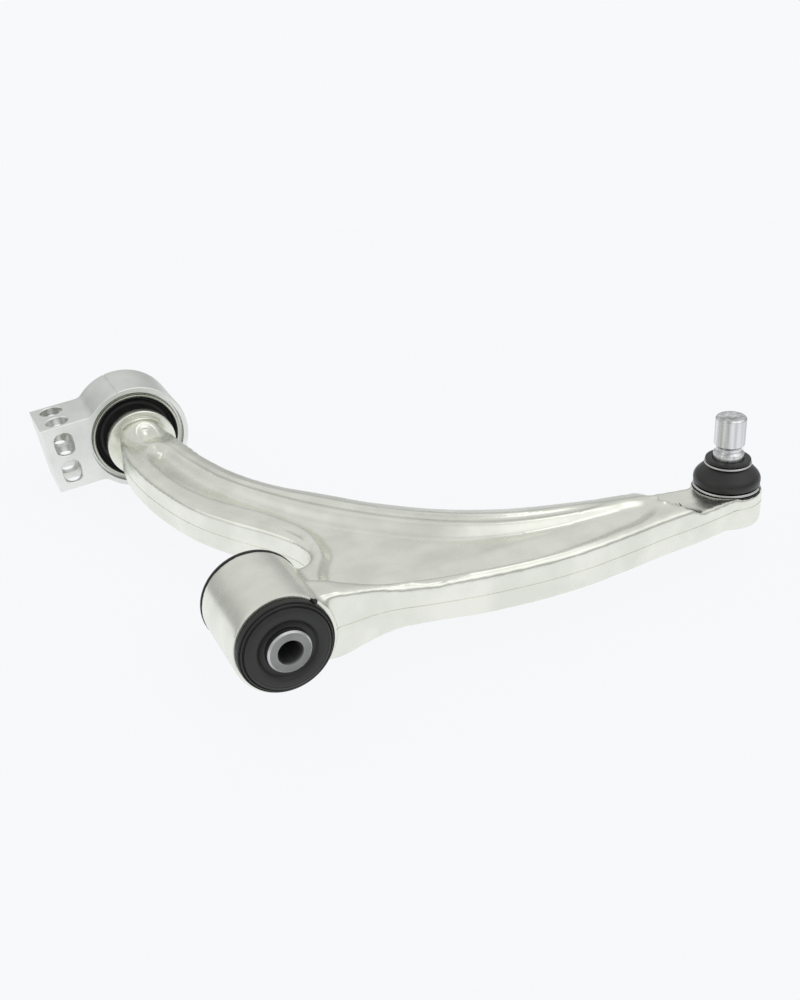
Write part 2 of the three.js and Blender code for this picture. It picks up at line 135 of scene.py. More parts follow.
def finish_mesh(obj, smooth_angle=35):
    """Merges doubles, drops loose edges, turns faces outward and shades by angle."""
    pick(obj)
    bpy.ops.object.mode_set(mode="EDIT")
    bpy.ops.mesh.select_all(action="SELECT")
    bpy.ops.mesh.remove_doubles(threshold=0.002 * MM)
    bpy.ops.mesh.delete_loose()
    bpy.ops.mesh.select_all(action="SELECT")
    bpy.ops.mesh.normals_make_consistent(inside=False)
    bpy.ops.object.mode_set(mode="OBJECT")
    bpy.ops.object.shade_smooth_by_angle(angle=math.radians(smooth_angle))
    return obj


def spun(name, corners, axis, centre, turn=360, steps=96, smooth_angle=35):
    """A ring of vertices is set to the section and spun round an axis through centre.
    Corners are (radius, height, rounding); height runs along the axis, +Y or +Z."""
    section = rounded(corners)
    bpy.ops.mesh.primitive_circle_add(vertices=len(section), fill_type="NOTHING")
    obj = bpy.context.object
    obj.name = name
    for vertex, point in zip(obj.data.vertices, section):
        if axis == "Y":
            vertex.co = place(centre[0] + point.x, point.y, centre[2])
        else:
            vertex.co = place(centre[0] + point.x, centre[1], point.y)
    bpy.ops.object.mode_set(mode="EDIT")
    bpy.ops.mesh.select_all(action="SELECT")
    direction = (0, 1, 0) if axis == "Y" else (0, 0, 1)
    bpy.ops.mesh.spin(steps=steps, angle=math.radians(turn), center=place(*centre), axis=direction)
    return finish_mesh(obj, smooth_angle)


def outline_curve(name, runs, low, high, edge, segments=4, grow=0.0, holes=()):
    """A flat closed curve through the outline's runs, given a thickness from low to high, made a
    mesh. Each run is one smooth stretch, and runs meet in corners. edge is (run, drop): how far
    the edge is taken in and down, rounded, or straight where segments is 0."""
    bpy.ops.curve.primitive_bezier_curve_add()
    obj = bpy.context.object
    obj.name = name
    curve = obj.data
    curve.splines.clear()
    curve.dimensions = "2D"
    curve.fill_mode = "BOTH"
    curve.resolution_u = 5
    for loop in (runs, *[[hole] for hole in holes]):
        points = [(x, y, i in (0, len(run) - 1)) for run in loop for i, (x, y) in enumerate(run)]
        points = [point for i, point in enumerate(points) if math.dist(point, points[i - 1]) > 0.01]
        spline = curve.splines.new("BEZIER")
        spline.bezier_points.add(len(points) - 1)
        for bezier, (x, y, corner) in zip(spline.bezier_points, points):
            bezier.co = (x * MM, y * MM, 0)
            kind = "VECTOR" if corner and len(loop) > 1 else "AUTO"
            bezier.handle_left_type = kind
            bezier.handle_right_type = kind
        spline.use_cyclic_u = True
    run, drop = edge
    curve.bevel_depth = run * MM
    curve.bevel_resolution = segments
    curve.offset = (grow - run) * MM
    curve.extrude = ((high - low) / 2 * run / drop - run) * MM
    obj.scale.z = drop / run
    obj.location = place(0, 0, (low + high) / 2)
    pick(obj)
    bpy.ops.object.convert(target="MESH")
    bpy.ops.object.transform_apply(location=True, rotation=True, scale=True)
    return finish_mesh(bpy.context.object)


def tube(name, points, radius, sides=12):
    """A round bar along a smooth line."""
    bpy.ops.curve.primitive_bezier_curve_add()
    obj = bpy.context.object
    obj.name = name
    curve = obj.data
    curve.splines.clear()
    spline = curve.splines.new("BEZIER")
    spline.bezier_points.add(len(points) - 1)
    for bezier, point in zip(spline.bezier_points, points):
        bezier.co = place(*point)
        bezier.handle_left_type = bezier.handle_right_type = "AUTO"
    curve.resolution_u = 6
    curve.bevel_depth = radius * MM
    curve.bevel_resolution = sides // 2 - 1
    curve.use_fill_caps = True
    obj.location = (0, 0, 0)
    pick(obj)
    bpy.ops.object.convert(target="MESH")
    return finish_mesh(bpy.context.object)


def lump(name, centre, radii):
    """A sphere drawn out to an egg."""
    bpy.ops.mesh.primitive_uv_sphere_add(segments=40, ring_count=20, location=place(*centre))
    obj = bpy.context.object
    obj.name = name
    obj.scale = [radius * MM for radius in radii]
    pick(obj)
    bpy.ops.object.transform_apply(location=True, rotation=True, scale=True)
    return obj


def apply_modifier(obj, kind, **settings):
    pick(obj)
    modifier = obj.modifiers.new(kind.lower(), kind)
    for key, value in settings.items():
        setattr(modifier, key, value)
    bpy.ops.object.modifier_apply(modifier=modifier.name)
    return obj


def combine(obj, tool, operation, solver="MANIFOLD"):
    """Joins to or cuts from obj the tool, which is then thrown away."""
    apply_modifier(obj, "BOOLEAN", object=tool, operation=operation, solver=solver)
    bpy.data.objects.remove(tool)
    return obj


def merge_objects(name, *objects):
    pick(*objects)
    bpy.ops.object.join()
    bpy.context.object.name = name
    return bpy.context.object


def cut_by_plane(obj, point, normal):
    """Cuts away what lies on the normal's side of a plane, and closes the cut."""
    pick(obj)
    bpy.ops.object.mode_set(mode="EDIT")
    bpy.ops.mesh.select_all(action="SELECT")
    bpy.ops.mesh.bisect(plane_co=place(*point), plane_no=normal, use_fill=True, clear_outer=True)
    bpy.ops.object.mode_set(mode="OBJECT")
    return obj


# ---- materials -----------------------------------------------------------------------------------

def srgb(hex_colour):
    """An sRGB hex colour turned to linear red, green, blue, alpha."""
    channels = [int(hex_colour[i:i + 2], 16) / 255 for i in (1, 3, 5)]
    linear = [c / 12.92 if c <= 0.04045 else ((c + 0.055) / 1.055) ** 2.4 for c in channels]
    return (*linear, 1.0)


def add_node(tree, kind, inputs=(), **settings):
    """Adds a node; inputs maps a socket's name or number to a value or to another node's output."""
    node = tree.nodes.new("ShaderNode" + kind)
    for key, value in settings.items():
        setattr(node, key, value)
    for key, value in dict(inputs).items():
        if isinstance(value, bpy.types.NodeSocket):
            tree.links.new(value, node.inputs[key])
        else:
            node.inputs[key].default_value = value
    return node


def new_material(name):
    material = bpy.data.materials.new(name)
    material.use_nodes = True
    tree = material.node_tree
    tree.nodes.clear()
    return material, tree


def ramp(tree, factor, stops):
    node = add_node(tree, "ValToRGB", {"Fac": factor})
    elements = node.color_ramp.elements
    while len(elements) < len(stops):
        elements.new(0.5)
    for element, (position, colour) in zip(elements, stops):
        element.position = position
        element.color = srgb(colour) if isinstance(colour, str) else (colour, colour, colour, 1)
    return node.outputs["Color"]


def metal(name, dark, light, rough, grain_mm, bump, patch_mm=25.0, stretch=(1, 1, 1)):
    """Bare metal: a slow change of tone over patches, a finer change of roughness, and a grain
    that bumps the surface. stretch draws the grain out along the tool's way, and the patches with it;
    drawn out far, as on the stud, the patches become painted reflection streaks."""
    material, tree = new_material(name)
    place_node = add_node(tree, "TexCoord").outputs["Object"]
    drawn = add_node(tree, "Mapping", {"Vector": place_node, "Scale": stretch}).outputs["Vector"]
    patches = add_node(tree, "TexNoise", {"Vector": drawn, "Scale": 1 / (patch_mm * MM),
                                          "Detail": 3.0}).outputs["Fac"]
    grain = add_node(tree, "TexNoise", {"Vector": drawn, "Scale": 1 / (grain_mm * MM),
                                        "Detail": 2.0, "Roughness": 0.5}).outputs["Fac"]
    colour = ramp(tree, patches, [(0.35, dark), (0.65, light)])
    roughness = ramp(tree, grain, [(0.3, rough[0]), (0.7, rough[1])])
    relief = add_node(tree, "Bump", {"Height": grain, "Strength": bump[0],
                                     "Distance": bump[1] * MM}).outputs["Normal"]
    shader = add_node(tree, "BsdfPrincipled", {"Base Color": colour, "Metallic": 1.0,
                                               "Roughness": roughness, "Normal": relief})
    add_node(tree, "OutputMaterial", {"Surface": shader.outputs["BSDF"]})
    return material


def rubber(name, dark, light, rough, speckle_mm, bump):
    """Moulded rubber: near black with paler bloom in patches and a fine moulded grain."""
    material, tree = new_material(name)
    place_node = add_node(tree, "TexCoord").outputs["Object"]
    bloom = add_node(tree, "TexNoise", {"Vector": place_node, "Scale": 1 / (9 * MM),
                                        "Detail": 5.0}).outputs["Fac"]
    grain = add_node(tree, "TexNoise", {"Vector": place_node, "Scale": 1 / (speckle_mm * MM),
                                        "Detail": 3.0}).outputs["Fac"]
    colour = ramp(tree, bloom, [(0.3, dark), (0.75, light)])
    roughness = ramp(tree, bloom, [(0.3, rough[0]), (0.7, rough[1])])
    relief = add_node(tree, "Bump", {"Height": grain, "Strength": bump,
                                     "Distance": 0.08 * MM}).outputs["Normal"]
    shader = add_node(tree, "BsdfPrincipled", {"Base Color": colour, "Roughness": roughness,
                                               "IOR": 1.52, "Normal": relief})
    add_node(tree, "OutputMaterial", {"Surface": shader.outputs["BSDF"]})
    return material


# Forged aluminium, shot blasted then tumbled bright: a pale, faintly warm satin.
FORGED = metal("forged_aluminium_tumbled", "#E4E6DC", "#F0F1E8", (0.22, 0.28), 6.0, (0.03, 0.05))
# Extruded aluminium, sawn to length: cooler, with a finer even satin.
EXTRUDED = metal("extruded_aluminium_sawn", "#E2E4E0", "#EEF0EC", (0.32, 0.42), 1.4, (0.06, 0.04))
# Steel turned on a lathe: grey with close tool marks.
TURNED = metal("steel_turned", "#B4B5B6", "#CBCCCD", (0.26, 0.38), 0.8, (0.12, 0.04))
# Ground steel of the stud, bright. Its tone is drawn out into long paler and darker bands along it:
# painted reflection streaks that stand in for the lamps' reflections.
STUD_STEEL_PAINTED_STREAKS = metal("steel_painted_reflection_streaks", "#B2B3B4", "#E6E7E8", (0.20, 0.34), 2.2, (0.15, 0.10), 4.0,
               (1, 1, 0.03))
# Drawn steel tube with its end faced in a lathe: a darker, flatter grey.
TUBE_STEEL = metal("steel_tube_drawn", "#7C7D7C", "#949594", (0.34, 0.46), 0.8, (0.12, 0.04))
# Zinc plate over steel: bright with a slight yellow cast.
PLATED = metal("steel_zinc_plated", "#C4C7BC", "#D6D8CE", (0.22, 0.32), 0.6, (0.06, 0.03))
# Drawn spring wire: bright and smooth.
WIRE = metal("spring_wire_drawn", "#B9BAB8", "#D2D3D1", (0.18, 0.28), 0.6, (0.05, 0.03))
# Natural rubber of the bushes, moulded in a blasted tool: matt near black.
BUSH_RUBBER = rubber("natural_rubber_moulded", "#161615", "#242423", (0.42, 0.56), 0.9, 0.25)
# Chloroprene boot, moulded in a polished tool: black with a soft shine.
BOOT_RUBBER = rubber("chloroprene_moulded", "#171716", "#222221", (0.34, 0.46), 0.9, 0.10)
# Natural acetal, moulded: ivory.
ACETAL = rubber("acetal_moulded", "#DDD7C4", "#E8E3D3", (0.38, 0.48), 0.9, 0.08)


def hand_over(piece, material, body, slot, *nodes):
    """Gives a finished piece its material, attaches it to the body it rides on (None for a piece
    that spans two bodies, which is left unattached) and hides the CAD nodes that it stands for."""
    piece.data.materials.clear()
    piece.data.materials.append(material)
    if body:
        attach(piece, body)
    if nodes:
        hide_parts(*nodes)
    return piece


# ---- arm forging ---------------------------------------------------------------------------------

HALF_HEIGHT = 15.0
WEB_TOP = 8.0
NECK_TOP = 7.8
HOUSING_R = 24.5
VOXEL = 1.4
NEAR_EDGE = [(24, 13), (36, 11.5), (66, 13), (98, 6), (140, -1.5), (190, -4.5), (232, -1),
             (265, 3.5), (300, 7), (336, 13)]
FAR_EDGE = [(336, 55), (318, 46.5), (300, 48), (276, 53), (233, 62.5), (174, 84), (123, 122),
            (89, 162), (56, 206), (34, 262), (27, 300), (22, 334)]
LEG_EDGE = [(-20, 334), (-23.2, 300), (-21.5, 263), (-14.6, 223), (-2.8, 183), (14, 150), (34, 117),
            (43.5, 92), (43, 78), (36, 69), (24, 66)]
POCKET = [(-4, 300), (-9, 284), (-7, 255), (-2, 227), (6, 203), (17, 181), (32, 158), (46, 133),
          (53.5, 112), (54, 94), (51, 77), (44, 64), (38, 50), (37, 37), (46, 30), (62, 23),
          (84, 16), (114, 9.5), (144, 4), (173, 1.5), (200, 2), (229, 5), (256, 10), (268, 17),
          (272, 27), (264, 36), (240, 39), (207, 43), (188, 47), (156, 59), (127, 77), (101, 101),
          (73, 133), (56, 160), (40, 191), (27, 224), (18, 262), (13, 288), (8, 301), (2, 305)]
CROWN_LINE = [(13, 322), (17, 287), (25, 250), (36, 215), (56, 177), (77, 146), (99, 119),
              (125, 93), (159, 68), (190, 54), (220, 47), (250, 42)]
CURL_LINE = [(38, 126), (46, 113), (49, 98), (46.5, 87), (38, 81), (27, 80)]
NECK = [(262, 72), (270, 50), (277, 30), (281, 18), (287, 4), (292, -20), (366, -20), (366, 72)]
BOTH_SIDES = (1, -1)


def beam():
    """The beam's outline as a thick plate, under a roof that slopes down to the far edge."""
    plate = outline_curve("beam", [NEAR_EDGE, FAR_EDGE, LEG_EDGE], -HALF_HEIGHT, HALF_HEIGHT, (4, 4))
    far_side = [(375, 66), *FAR_EDGE, (20, 380)]
    roof = outline_curve("roof", [[(-70, -70), (375, -70)], far_side, [(-70, 380), (-70, 380)]],
                         -HALF_HEIGHT, HALF_HEIGHT, (15, 4.2), segments=0)
    return combine(plate, roof, "INTERSECT")


def near_rail():
    """The near rail's tall end, which falls from the eye to the beam's height."""
    rail = outline_curve("near_rail", [[(20, 13.2), (36, 11.8), (66, 13.2), (98, 6.5), (118, 4)],
                                       [(118, 9), (98, 13), (66, 20), (46, 27), (20, 42)]],
                         -26, 26, (0.5, 0.5), segments=1)
    fall = math.radians(11)
    for side in BOTH_SIDES:
        cut_by_plane(rail, (0, 0, side * 23), (0, 0, side))
        cut_by_plane(rail, (38, 0, side * 22.6), (math.sin(fall), 0, side * math.cos(fall)))
    return apply_modifier(rail, "BEVEL", width=2.6 * MM, segments=4, limit_method="ANGLE",
                          angle_limit=math.radians(40))


def eye_barrel():
    return spun("eye", [(0, 8), (32.6, 8, 1), (32.6, 71, 1), (0, 71)], "Y", (0, 0, 0))


def collar_flare():
    return spun("flare", [(0, 292), (9, 292, 3), (14, 312, 8), (20, 332, 4), (21.5, 341), (0, 341)],
                "Y", REAR_CENTRE)


def ball_housing():
    return spun("housing", [(0, -17.6), (HOUSING_R, -17.6, 5.5), (HOUSING_R, 8, 2), (0, 8)], "Z",
                JOINT_CENTRE)


def basin(side):
    """One face's pocket. Its walls slope, its floor climbs towards the ball joint, and along the
    leg it leans up to the leg's rail."""
    depth = HALF_HEIGHT - WEB_TOP
    low, high = sorted((side * WEB_TOP, side * (WEB_TOP + 6 * depth)))
    tool = outline_curve("basin", [POCKET], low, high, (depth, depth), segments=0)
    for vertex in tool.data.vertices:
        x, y, z = (vertex.co - ORIGIN) / MM
        if abs(abs(z) - WEB_TOP) > 0.5:
            continue
        climb = max(0.0, x - 150) * 0.04
        trough_middle = 4 + 0.0022 * max(0.0, 290 - y) ** 2
        along_leg = min(max((y - 130) / 70, 0), 1)
        lean = 3.5 * along_leg if x < trough_middle else 0
        vertex.co.z += side * (climb + lean) * MM
    return tool


def neck_relief():
    """The step down to the ball joint. Its floor climbs to the near wall."""
    tool = outline_curve("neck", [NECK], NECK_TOP, 40, (11, 8), segments=0)
    for vertex in tool.data.vertices:
        y, z = (vertex.co - ORIGIN).yz / MM
        if z < NECK_TOP + 0.5:
            vertex.co.z += 2.0 * min(max((26 - y) / 26, 0), 1) * MM
    return tool


def groove(name, line, side, radius, depth):
    """A round-bottomed channel along a line on one face, running out at both ends."""
    centre = side * (HALF_HEIGHT + radius - depth)
    run_out = side * (depth + 0.3)
    heights = [centre + run_out, *[centre] * (len(line) - 2), centre + run_out]
    return tube(name, [(x, y, z) for (x, y), z in zip(line, heights)], radius, 24)


def forging_tools(side):
    """What the dies leave hollow on one face."""
    yield basin(side)
    yield groove("crown_groove", CROWN_LINE, side, radius=6.5, depth=2.0)
    yield groove("curl_groove", CURL_LINE, side, radius=3.0, depth=1.3)
    yield lump("bowl", (REAR_AXIS.x + 2, 317, side * 28), (13, 18, 14.0))
    yield lump("dip", (100, 8, side * (HALF_HEIGHT + 28.4)), (64, 26, 30))
    if side > 0:
        yield neck_relief()


def neck_bumps(side):
    """Small lumps where the rails run out at the neck."""
    return [lump("bump", (x, y, side * z), (r, r, r * 0.8))
            for x, y, z, r in [(278.5, 34, 13.4, 3.4), (278, 23.5, 13.8, 3.6),
                               (287.5, 21, 11.4, 3.0), (284.5, 12, 13.0, 3.0)]]


def parting_line():
    """The line where the dies met, a fine groove all round at mid height."""
    half = 0.3
    deep = 0.5
    reach = 3
    edges = [NEAR_EDGE, FAR_EDGE, LEG_EDGE]
    outside = outline_curve("parting", edges, -half, half, (0.1, 0.1), segments=0, grow=reach)
    rim = HOUSING_R + reach
    combine(outside, spun("rim", [(0, -half), (rim, -half), (rim, half), (0, half)], "Z",
                          JOINT_CENTRE), "UNION")
    inside = outline_curve("inside", edges, -2, 2, (0.1, 0.1), segments=0, grow=-deep)
    rim = HOUSING_R - deep
    core = spun("core", [(0, -3), (rim, -3), (rim, 3), (0, 3)], "Z", JOINT_CENTRE)
    for solid in (core, eye_barrel(), collar_flare()):
        combine(inside, solid, "UNION")
    return combine(outside, inside, "DIFFERENCE")


def arm_forging():
    blank = merge_objects("arm_forging_body", beam(), near_rail(), eye_barrel(), collar_flare(),
                          ball_housing())
    apply_modifier(blank, "REMESH", mode="VOXEL", voxel_size=VOXEL * MM)
    for side in BOTH_SIDES:
        for tool in forging_tools(side):
            combine(blank, tool, "DIFFERENCE")
    blank = merge_objects("arm_forging_body", blank, *neck_bumps(1))
    apply_modifier(blank, "REMESH", mode="VOXEL", voxel_size=VOXEL * MM)
    apply_modifier(blank, "SMOOTH", factor=0.5, iterations=10)
    collar = spun("collar", [(0, 330), (17, 330), (17, 339.7), (26.9, 339.7, 0.3), (27.6, 340.4, 0.3),
                             (27.6, 347, 0.4), (27, 347.5, 0.3), (16, 347.5, 0.6), (16, 407),
                             (11, 407), *thread(11, 409, 428.5), (9.8, 430), (0, 430)], "Y",
                  REAR_CENTRE)
    combine(blank, collar, "UNION")
    tools = [
        parting_line(),
        spun("bore", [(0, -5), (33.2, -5), (33.2, 9.5), (28.1, 9.5), (27.3, 10.3), (27.3, 68.7),
                      (28.1, 69.5), (33.2, 69.5), (33.2, 90), (0, 90)], "Y", (0, 0, 0)),
        spun("housing_bore", [(0, -30), (30, -30), (30, -18), (18.3, -18), (18.3, -15.8),
                              (16.5, -15.8), (16.5, 1.2, 2), (12.2, 4.6), (13.6, 7.5),
                              (19.4, 7.5), (19.4, 5.1), (23.8, 5.1), (23.8, 20), (0, 20)], "Z",
             JOINT_CENTRE),
        tube("undercut", [(REAR_AXIS.x + 22.4 * math.cos(a), 338.9 + 1.6 * abs(a - 1.6),
                           REAR_AXIS.z + 22.4 * math.sin(a))
                          for a in (0.8, 1.0, 1.25, 1.5, 1.75, 2.0, 2.3)], 1.9),
    ]
    for tool in tools:
        combine(blank, tool, "DIFFERENCE")
    finish_mesh(blank, 30)
    return hand_over(blank, FORGED, "arm", "forged_aluminium", "arm_forging")


# ---- front bush ----------------------------------------------------------------------------------

def front_bush():
    length = (SLEEVE_HIGH.y - SLEEVE_LOW.y) / MM
    sleeve = spun("front_bush_sleeve", [
        (8.1, 0), (12.8, 0, 0.2), (14, 1.2, 0.3), (14, length - 1.2, 0.3), (12.8, length, 0.2),
        (8.1, length), (7.1, length - 1.8), (7.1, 1.8)], "Y", (0, 0, 0))
    hand_over(sleeve, TUBE_STEEL, "front_pivot", "machined_steel", "front_bush_inner_sleeve")
    sleeve.data.materials.append(TURNED)
    for face in sleeve.data.polygons:
        radius = math.hypot(face.center.x - ORIGIN.x, face.center.z - ORIGIN.z) / MM
        on_chamfer = 12.75 < radius < 13.9 and abs(face.normal.y) < 0.95
        if on_chamfer:
            face.material_index = 1
    dome = [(14.25, 5.0), (15.2, 5.4, 0.4), (17.4, 5.2, 1.2), (19.6, 2.9, 1.8), (24.2, 2.4, 3),
            (26.4, 3.4, 1.2), (27.0, 5.2, 0.4), (27.5, 5.2, 0.3), (28.0, 4.3, 0.5), (28.8, 4.8, 0.4),
            (29.0, 6.2, 0.3), (29.4, 6.2, 0.2), (29.8, 5.6, 0.4)]
    front_lip = [(30.4, 6.6, 0.5), (30.4, 9.3, 0.2), (25.2, 9.3)]
    rear_lip = [(25.2, length - 9.3), (32.8, length - 9.3, 0.2), (32.8, length - 7.6, 0.6)]
    rear_dome = [(r, length - y, *rest) for r, y, *rest in reversed(dome)]
    body = spun("front_bush_rubber_body", dome + front_lip + rear_lip + rear_dome, "Y", (0, 0, 0),
                steps=128)
    hand_over(body, BUSH_RUBBER, "arm", "rubber", "front_bush_rubber")
    sprue = lump("sprue", (20.2, 8.0, 24.2), (1.7, 1.6, 1.7))
    combine(body, sprue, "UNION")
    finish_mesh(body)
    can = spun("front_bush_can", [(25.6, 9.6), (27, 9.6, 0.3), (27, 69.4, 0.3), (25.6, 69.4)], "Y",
               (0, 0, 0))
    hand_over(can, PLATED, "arm", "plated_steel", "front_bush_outer_sleeve")


# ---- rear bush and bracket -----------------------------------------------------------------------

RING_R, BORE_R = 42.4, 36.4
FOOT_END, FOOT_TOP, FOOT_BOTTOM, FOOT_FILLET = -71.2, 28.2, -27.3, 9.0
FOOT_TILT = math.radians(5.3)
FOOT_LEAN = 2.0
WINDOW = {"x": -57.6, "width": 14.8, "height": 19.3, "corner": 6.3, "spread": 12.0}
BOLT_R = 9.0
SEAM = (-10.7, 43.7)
BRACKET_DEPTH = BRACKET_BACK - BRACKET_FRONT


def arc(centre_x, centre_y, radius, start, end, step=6):
    """Points round an arc, from one angle to another, in degrees."""
    count = max(2, round(abs(end - start) / step))
    angles = [math.radians(start + (end - start) * k / count) for k in range(count + 1)]
    return [(centre_x + radius * math.cos(a), centre_y + radius * math.sin(a)) for a in angles]


def window(middle):
    """A window with well rounded corners, clockwise because it is a hole."""
    half_x = WINDOW["width"] / 2 - WINDOW["corner"]
    half_y = WINDOW["height"] / 2 - WINDOW["corner"]
    points = []
    for side_x, side_y, start in ((1, 1, 90), (1, -1, 0), (-1, -1, -90), (-1, 1, -180)):
        points += arc(WINDOW["x"] + side_x * half_x, middle + side_y * half_y, WINDOW["corner"],
                      start, start - 90, 18)
    return points


def bracket_outline():
    reach = RING_R + FOOT_FILLET
    top_y = FOOT_TOP + FOOT_FILLET
    bottom_y = FOOT_BOTTOM - FOOT_FILLET
    top_x = -math.sqrt(reach ** 2 - top_y ** 2)
    bottom_x = -math.sqrt(reach ** 2 - bottom_y ** 2)
    top_angle = math.degrees(math.atan2(top_y, top_x))
    bottom_angle = math.degrees(math.atan2(bottom_y, bottom_x))
    return [
        [(FOOT_END - FOOT_LEAN, FOOT_TOP), (FOOT_END, FOOT_BOTTOM)],
        [(FOOT_END, FOOT_BOTTOM), (bottom_x, FOOT_BOTTOM)],
        arc(bottom_x, bottom_y, FOOT_FILLET, 90, bottom_angle + 180),
        arc(0, 0, RING_R, bottom_angle, top_angle),
        arc(top_x, top_y, FOOT_FILLET, top_angle - 180, -90),
        [(top_x, FOOT_TOP), (FOOT_END - FOOT_LEAN, FOOT_TOP)],
    ]


def onto_rear_axis(obj, *turns):
    """Turns a mesh made at the front bush about its origin, and moves it to the rear axis."""
    there = Matrix.Translation(place(REAR_AXIS.x, 0, REAR_AXIS.z))
    for turn in turns:
        there = there @ turn
    obj.data.transform(there @ Matrix.Translation(-ORIGIN))
    return obj


def rear_bracket():
    tilt = Matrix.Rotation(-FOOT_TILT, 4, "Y")
    bore = list(reversed(arc(0, 0, BORE_R, 0, 354)))
    block = outline_curve("rear_bracket_body", bracket_outline(), -BRACKET_BACK, -BRACKET_FRONT,
                          (0.5, 0.5), segments=0,
                          holes=[bore, window(WINDOW["spread"]), window(-WINDOW["spread"])])
    onto_rear_axis(block, tilt, Matrix.Rotation(math.radians(90), 4, "X"))
    for share in (0.25, 0.75):
        hole = spun("bolt_hole", [(0, -60), (12, -60), (10, FOOT_BOTTOM - 0.3), (BOLT_R, -26.6),
                                  (BOLT_R, 27.5), (10, FOOT_TOP + 0.3), (12, 60), (0, 60)],
                    "Z", (0, 0, 0), steps=64)
        onto_rear_axis(hole, tilt, Matrix.Translation(
            Vector((WINDOW["x"], BRACKET_FRONT + share * BRACKET_DEPTH, 0)) * MM))
        combine(block, hole, "DIFFERENCE")
    for face_y, inward in ((BRACKET_FRONT, 1), (BRACKET_BACK, -1)):
        mouth = spun("mouth", [(30, face_y - inward), (38.6, face_y - inward),
                               (38.0, face_y + 5 * inward), (30, face_y + 5 * inward)],
                     "Y", REAR_CENTRE, steps=128)
        combine(block, mouth, "DIFFERENCE")
    seam_x, seam_z = SEAM
    seam = tube("seam", [(seam_x, BRACKET_FRONT - 3, seam_z),
                         (seam_x, BRACKET_FRONT + BRACKET_DEPTH / 2, seam_z),
                         (seam_x, BRACKET_BACK + 3, seam_z)], 0.75)
    combine(block, seam, "DIFFERENCE")
    finish_mesh(block, 30)
    hand_over(block, EXTRUDED, "rear_mount", "bracket_aluminium", "rear_bracket")


def both_ends(half, front, back):
    """A section given for its front end, repeated as a mirror image at its back end."""
    return [(r, front + y, *rest) for r, y, *rest in half] + \
           [(r, back - y, *rest) for r, y, *rest in reversed(half)]


def rear_bush():
    sleeve = spun("rear_bush_sleeve", both_ends(
        [(34.7, 2.8), (33.6, 2.4, 0.2), (33.6, 1.4, 0.5), (35.7, 0.9, 0.8), (36.1, 3.4)],
        BRACKET_FRONT, BRACKET_BACK), "Y", REAR_CENTRE, steps=128)
    hand_over(sleeve, PLATED, "rear_mount", "plated_steel", "rear_bush_outer_sleeve")
    half = [(20.3, -1.6), (22.6, -1.6, 0.9), (24.4, 5, 3), (27.6, 8.6, 2.2), (31, 7, 2),
            (33.0, 3.2, 0.8), (34.4, 3.0, 0.3), (34.4, 6), (31.1, 6)]
    body = spun("rear_bush_rubber_body", both_ends(half, BRACKET_FRONT, BRACKET_BACK), "Y",
                REAR_CENTRE, steps=128)
    for side in BOTH_SIDES:
        bpy.ops.mesh.primitive_cylinder_add(
            radius=9 * MM, depth=12 * MM, vertices=48, rotation=(0, math.radians(90), 0),
            location=place(REAR_AXIS.x + side * 31.5, (BRACKET_FRONT + BRACKET_BACK) / 2, REAR_AXIS.z))
        combine(body, bpy.context.object, "DIFFERENCE")
    finish_mesh(body)
    hand_over(body, BUSH_RUBBER, "rear_mount", "rubber", "rear_bush_rubber")
    core = spun("rear_bush_core", [(16.3, 347.8), (19.4, 347.8), (20, 348.4), (20, 407.4),
                                   (19.4, 408), (16.3, 408)], "Y", REAR_CENTRE)
    hand_over(core, TUBE_STEEL, "arm", "machined_steel", "rear_bush_inner_sleeve")


def rear_fixing():
    start = 408.3
    washer = spun("rear_washer_disc", [(11.3, start), (25, start, 0.6), (25, start + 4, 0.9),
                                       (11.3, start + 4)], "Y", REAR_CENTRE)
    hand_over(washer, PLATED, "arm", "plated_steel", "rear_washer")
    seat = start + 4.3
    top = seat + 14
    bpy.ops.mesh.primitive_cylinder_add(vertices=6, radius=32 / math.sqrt(3) * MM, depth=14 * MM,
                                        rotation=(math.radians(90), 0, 0),
                                        location=place(REAR_AXIS.x, seat + 7, REAR_AXIS.z))
    nut = bpy.context.object
    nut.name = "rear_flange_nut"
    bpy.ops.object.transform_apply(location=True, rotation=True, scale=True)
    chamfer = spun("chamfer", [(0, seat), (22, seat), (18.9, top - 1.6), (16.2, top), (0, top)], "Y",
                   REAR_CENTRE)
    combine(nut, chamfer, "INTERSECT")
    flange = spun("flange", [(0, seat), (20.5, seat, 0.5), (20.5, seat + 1.6, 0.8), (17, seat + 3.4),
                             (0, seat + 3.4)], "Y", REAR_CENTRE)
    combine(nut, flange, "UNION")
    bore = spun("nut_bore", [(0, seat - 3), (11.3, seat - 3), (11.3, top - 1.2), (12.6, top + 0.1),
                             (12.6, top + 3), (0, top + 3)], "Y", REAR_CENTRE)
    combine(nut, bore, "DIFFERENCE")
    apply_modifier(nut, "BEVEL", width=0.35 * MM, segments=2, limit_method="ANGLE",
                   angle_limit=math.radians(40))
    finish_mesh(nut, 30)
    hand_over(nut, PLATED, "arm", "plated_steel", "rear_nut")


# ---- ball joint ----------------------------------------------------------------------------------

def wire_ring(name, radius, height, wire_r, opening_at, body, node):
    """A ring of spring wire whose two ends stand a few millimetres apart."""
    half_gap = math.radians(3.5)
    steps = 40
    sweep = 2 * math.pi - 2 * half_gap
    angles = [opening_at + half_gap + sweep * k / steps for k in range(steps + 1)]
    ring = tube(name, [(BALL_CENTRE.x + radius * math.cos(a), BALL_CENTRE.y + radius * math.sin(a),
                        height) for a in angles], wire_r)
    hand_over(ring, WIRE, body, "ring_steel", node)


